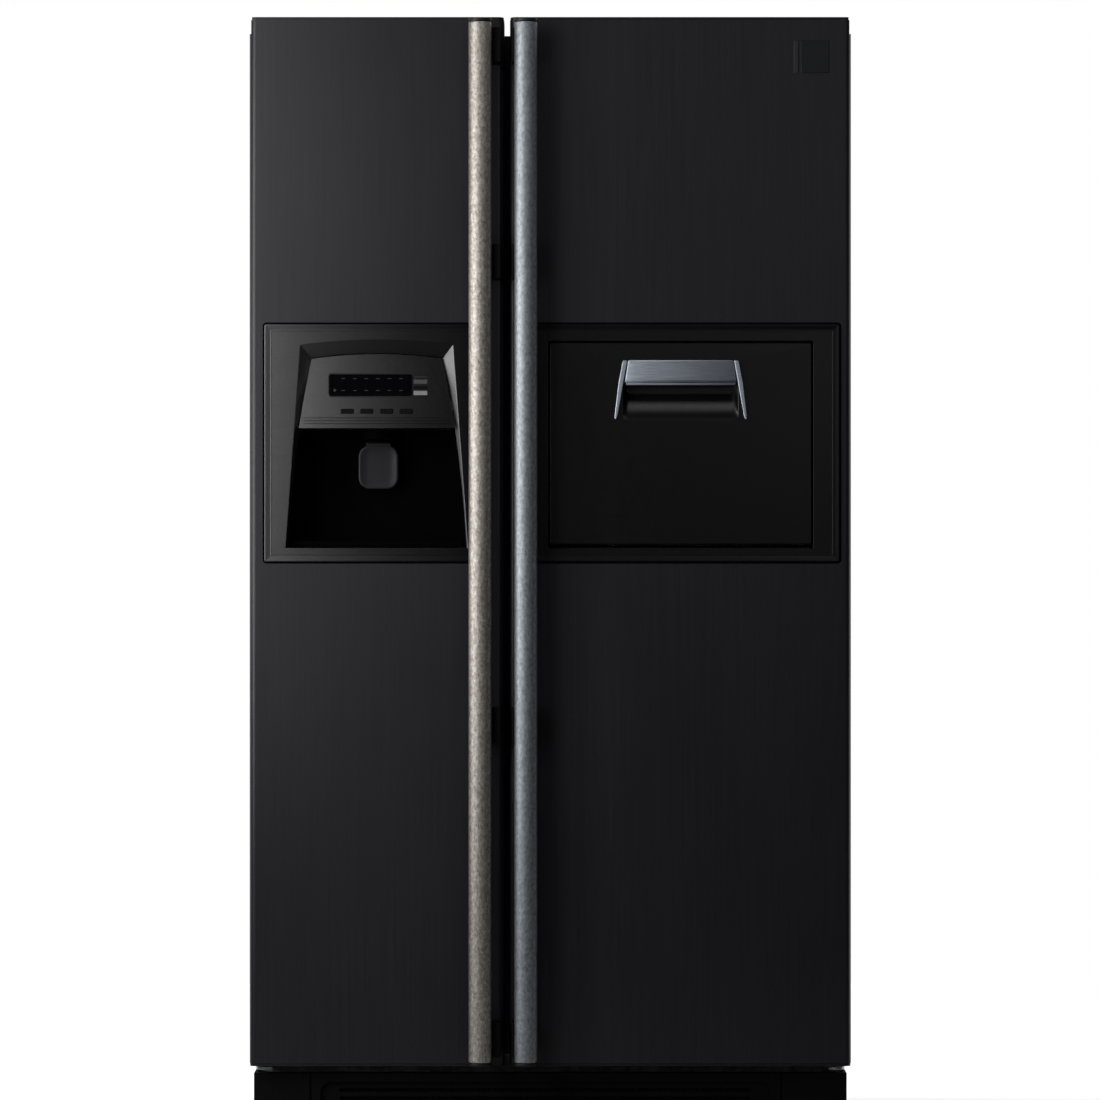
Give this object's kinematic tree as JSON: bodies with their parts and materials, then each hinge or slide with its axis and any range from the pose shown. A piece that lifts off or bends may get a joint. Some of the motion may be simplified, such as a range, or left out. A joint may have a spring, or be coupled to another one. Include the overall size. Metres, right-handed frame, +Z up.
{
  "type": "side by side refrigerator",
  "caption": "Tall black two-door refrigerator and freezer with full-height bar handles, an ice and water dispenser and a fold-down home bar.",
  "frame": {"origin": "on the floor under the middle of the outer box, halfway across the width and halfway from the handle fronts to the cabinet's back", "axes": "+Z up, -Y out of the doors towards the user, +X to the user's right"},
  "size_m": [0.94, 0.76, 1.758],
  "materials": {
    "black_door_skin": "satin",
    "cabinet_paint": "satin",
    "black_plastic": "satin",
    "dark_silver_plastic": "satin",
    "niche_plastic": "matte",
    "key_plastic": "gloss",
    "satin_handle": "satin",
    "bright_trim": "satin",
    "white_liner": "satin",
    "gasket_rubber": "matte",
    "zinc_steel": "satin",
    "compressor_steel": "satin",
    "black_rubber": "matte",
    "clear_bin": "gloss",
    "shelf_glass": "gloss"
  },
  "bodies": {
    "cabinet": {"cabinet_left_wall": "cabinet_paint", "cabinet_right_wall": "cabinet_paint", "cabinet_top_wall": "cabinet_paint", "cabinet_rear_wall": "cabinet_paint", "cabinet_floor": "cabinet_paint", "cabinet_mullion": "cabinet_paint", "freezer_liner": "white_liner", "fridge_liner": "white_liner", "base_chassis": "zinc_steel", "levelling_foot_left": "black_rubber", "levelling_foot_right": "black_rubber", "compressor": "compressor_steel", "compressor_cover": "zinc_steel", "cord_gland": "black_rubber", "kickplate": "black_plastic", "top_hinge_left": "zinc_steel", "hinge_cover_left": "black_plastic", "bottom_hinge_left": "zinc_steel", "top_hinge_right": "zinc_steel", "hinge_cover_right": "black_plastic", "bottom_hinge_right": "zinc_steel", "freezer_shelf_lower": "shelf_glass", "freezer_shelf_upper": "shelf_glass", "fridge_shelf_lower": "shelf_glass", "fridge_shelf_upper": "shelf_glass"},
    "roller_left": {"rear_roller_left": "black_rubber"},
    "roller_right": {"rear_roller_right": "black_rubber"},
    "freezer_door": {"freezer_door_panel": "black_door_skin", "freezer_door_top_cap": "black_plastic", "freezer_door_bottom_cap": "black_plastic", "freezer_door_gasket": "gasket_rubber", "freezer_door_liner": "white_liner", "freezer_door_bin": "clear_bin", "freezer_handle_bar": "satin_handle", "freezer_handle_mount": "black_plastic", "dispenser_surround": "dark_silver_plastic", "control_panel": "dark_silver_plastic", "dispenser_niche": "niche_plastic", "drip_tray": "niche_plastic"},
    "dispenser_lever": {"dispenser_lever": "niche_plastic"},
    "key_1": {"function_key_1": "key_plastic"},
    "key_2": {"function_key_2": "key_plastic"},
    "key_3": {"function_key_3": "key_plastic"},
    "key_4": {"function_key_4": "key_plastic"},
    "fridge_door": {"fridge_door_panel": "black_door_skin", "fridge_door_top_cap": "black_plastic", "fridge_door_bottom_cap": "black_plastic", "fridge_door_gasket": "gasket_rubber", "fridge_door_liner": "white_liner", "fridge_door_bin": "clear_bin", "fridge_handle_bar": "satin_handle", "fridge_handle_mount": "black_plastic", "home_bar_frame": "black_plastic", "home_bar_case": "white_liner"},
    "home_bar_flap": {"home_bar_flap": "black_door_skin", "home_bar_handle": "bright_trim"},
    "freezer_drawer": {"freezer_drawer": "clear_bin"},
    "ice_bin": {"ice_bin": "clear_bin"},
    "crisper_lower": {"crisper_lower": "clear_bin"},
    "crisper_upper": {"crisper_upper": "clear_bin"}
  },
  "joints": [
    {"name": "freezer_door_hinge", "type": "hinge", "parent": "cabinet", "child": "freezer_door", "pos_m": [-0.448, -0.285, 0.93], "axis": [0, 0, -1], "range_deg": [0, 120]},
    {"name": "fridge_door_hinge", "type": "hinge", "parent": "cabinet", "child": "fridge_door", "pos_m": [0.448, -0.285, 0.93], "axis": [0, 0, 1], "range_deg": [0, 120]},
    {"name": "home_bar_hinge", "type": "hinge", "parent": "fridge_door", "child": "home_bar_flap", "pos_m": [0.2035, -0.314, 0.934], "axis": [1, 0, 0], "range_deg": [0, 90]},
    {"name": "dispenser_lever_pivot", "type": "hinge", "parent": "freezer_door", "child": "dispenser_lever", "pos_m": [-0.271, -0.256, 1.084], "axis": [1, 0, 0], "range_deg": [0, 15], "stiffness_Nm_per_rad": 0.3},
    {"name": "key_1_press", "type": "slide", "parent": "freezer_door", "child": "key_1", "axis": [0, 0.9866, -0.1629], "range_m": [0, 0.0015], "stiffness_N_per_m": 400},
    {"name": "key_2_press", "type": "slide", "parent": "freezer_door", "child": "key_2", "axis": [0, 0.9866, -0.1629], "range_m": [0, 0.0015], "stiffness_N_per_m": 400},
    {"name": "key_3_press", "type": "slide", "parent": "freezer_door", "child": "key_3", "axis": [0, 0.9866, -0.1629], "range_m": [0, 0.0015], "stiffness_N_per_m": 400},
    {"name": "key_4_press", "type": "slide", "parent": "freezer_door", "child": "key_4", "axis": [0, 0.9866, -0.1629], "range_m": [0, 0.0015], "stiffness_N_per_m": 400},
    {"name": "freezer_drawer_slide", "type": "slide", "parent": "cabinet", "child": "freezer_drawer", "axis": [0, -1, 0], "range_m": [0, 0.075]},
    {"name": "ice_bin_slide", "type": "slide", "parent": "cabinet", "child": "ice_bin", "axis": [0, -1, 0], "range_m": [0, 0.075]},
    {"name": "crisper_lower_slide", "type": "slide", "parent": "cabinet", "child": "crisper_lower", "axis": [0, -1, 0], "range_m": [0, 0.075]},
    {"name": "crisper_upper_slide", "type": "slide", "parent": "cabinet", "child": "crisper_upper", "axis": [0, -1, 0], "range_m": [0, 0.075]},
    {"name": "roller_left_axle", "type": "hinge", "parent": "cabinet", "child": "roller_left", "pos_m": [-0.454, 0.3, 0.022], "axis": [1, 0, 0], "continuous": true},
    {"name": "roller_right_axle", "type": "hinge", "parent": "cabinet", "child": "roller_right", "pos_m": [0.454, 0.3, 0.022], "axis": [1, 0, 0], "continuous": true}
  ]
}
